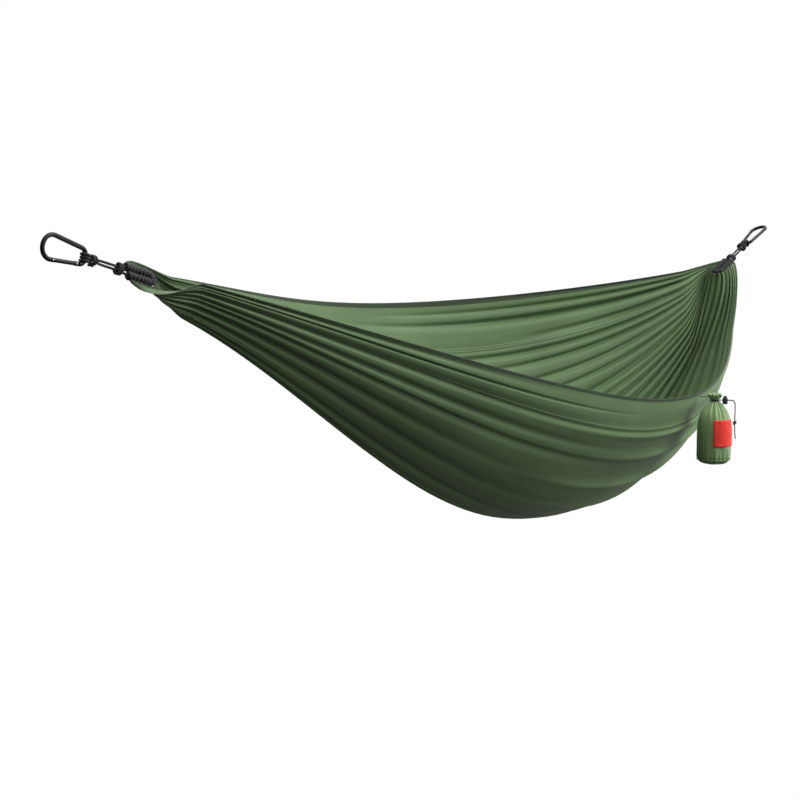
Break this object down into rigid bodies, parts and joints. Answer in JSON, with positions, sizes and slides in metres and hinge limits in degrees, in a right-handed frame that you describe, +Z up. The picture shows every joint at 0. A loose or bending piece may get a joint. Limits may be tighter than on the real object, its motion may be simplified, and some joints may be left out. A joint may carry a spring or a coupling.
{
  "type": "camping hammock",
  "caption": "Gathered-end nylon camping hammock hung empty, with gather ropes, D carabiners with sprung gates, and a drawcord stuff sack on one rim.",
  "frame": {"origin": "left hang point: the inside of the left carabiner's wide bow, where a strap or sling bears", "axes": "+X level to the right hang point, -Y towards the near side with the stuff sack, +Z up"},
  "size_m": [2.8028, 0.6938, 0.783],
  "materials": {
    "nylon_cloth": "thin woven green nylon with a soft sheen",
    "hem_binding": "darker green folded and stitched edge",
    "channel_sleeve": "black gathered woven tape",
    "black_rope": "black braided cord",
    "anodised_aluminium": "black anodised",
    "steel": "plain bright steel",
    "lock_plastic": "black moulded",
    "red_label": "red woven label, no text"
  },
  "bodies": {
    "hammock": {"centre_panel": "nylon_cloth", "near_side_strip": "nylon_cloth", "far_side_strip": "nylon_cloth", "near_rim_hem": "hem_binding", "far_rim_hem": "hem_binding", "left_end_channel": "channel_sleeve", "right_end_channel": "channel_sleeve", "left_gather_rope": "black_rope", "right_gather_rope": "black_rope", "left_cinch_wrap": "black_rope", "right_cinch_wrap": "black_rope", "left_hitch_knot": "black_rope", "right_hitch_knot": "black_rope"},
    "left_carabiner": {"left_carabiner_frame": "anodised_aluminium", "left_gate_rivet": "steel"},
    "left_gate": {"left_carabiner_gate": "anodised_aluminium", "left_nose_pin": "steel", "left_gate_push_pin": "steel", "left_gate_spring": "steel"},
    "right_carabiner": {"right_carabiner_frame": "anodised_aluminium", "right_gate_rivet": "steel"},
    "right_gate": {"right_carabiner_gate": "anodised_aluminium", "right_nose_pin": "steel", "right_gate_push_pin": "steel", "right_gate_spring": "steel"},
    "sack": {"sack_body": "nylon_cloth", "sack_base_piping": "hem_binding", "sack_label": "red_label", "sack_loop_tape": "channel_sleeve", "sack_drawcord": "black_rope", "drawcord_tail_a": "black_rope", "drawcord_tail_b": "black_rope", "drawcord_knot": "black_rope"},
    "cord_lock": {"cord_lock_barrel": "lock_plastic", "cord_lock_spring": "steel"},
    "lock_button": {"cord_lock_button": "lock_plastic"}
  },
  "joints": [
    {"name": "left_carabiner_swing", "type": "hinge", "parent": "hammock", "child": "left_carabiner", "pos_m": [0.10056, 0, -0.02751], "axis": [0.2639, 0, 0.9646], "range_deg": [-60, 60]},
    {"name": "right_carabiner_swing", "type": "hinge", "parent": "hammock", "child": "right_carabiner", "pos_m": [2.68993, 0, -0.04684], "axis": [-0.078, -0.9848, 0.1551], "range_deg": [-60, 60]},
    {"name": "left_gate_hinge", "type": "hinge", "parent": "left_carabiner", "child": "left_gate", "pos_m": [0.07708, 0, -0.03806], "axis": [0, 1, 0], "range_deg": [0, 26], "stiffness_Nm_per_rad": 0.02, "springref_deg": -17.19},
    {"name": "right_gate_hinge", "type": "hinge", "parent": "right_carabiner", "child": "right_gate", "pos_m": [2.70895, 0.01612, -0.04046], "axis": [0.4425, -0.1737, -0.8798], "range_deg": [0, 26], "stiffness_Nm_per_rad": 0.02, "springref_deg": -17.19},
    {"name": "sack_swing", "type": "hinge", "parent": "hammock", "child": "sack", "pos_m": [1.98498, -0.26359, -0.42843], "axis": [0.988, 0.1543, 0], "range_deg": [-75, 0]},
    {"name": "cord_lock_slide", "type": "slide", "parent": "sack", "child": "cord_lock", "axis": [0.5, -0.866, 0], "range_m": [0, 0.008]},
    {"name": "lock_button_push", "type": "slide", "parent": "cord_lock", "child": "lock_button", "axis": [0, 0, -1], "range_m": [0, 0.003], "stiffness_N_per_m": 300, "springref_m": -0.003, "deforming": ["cord_lock_spring"]}
  ]
}
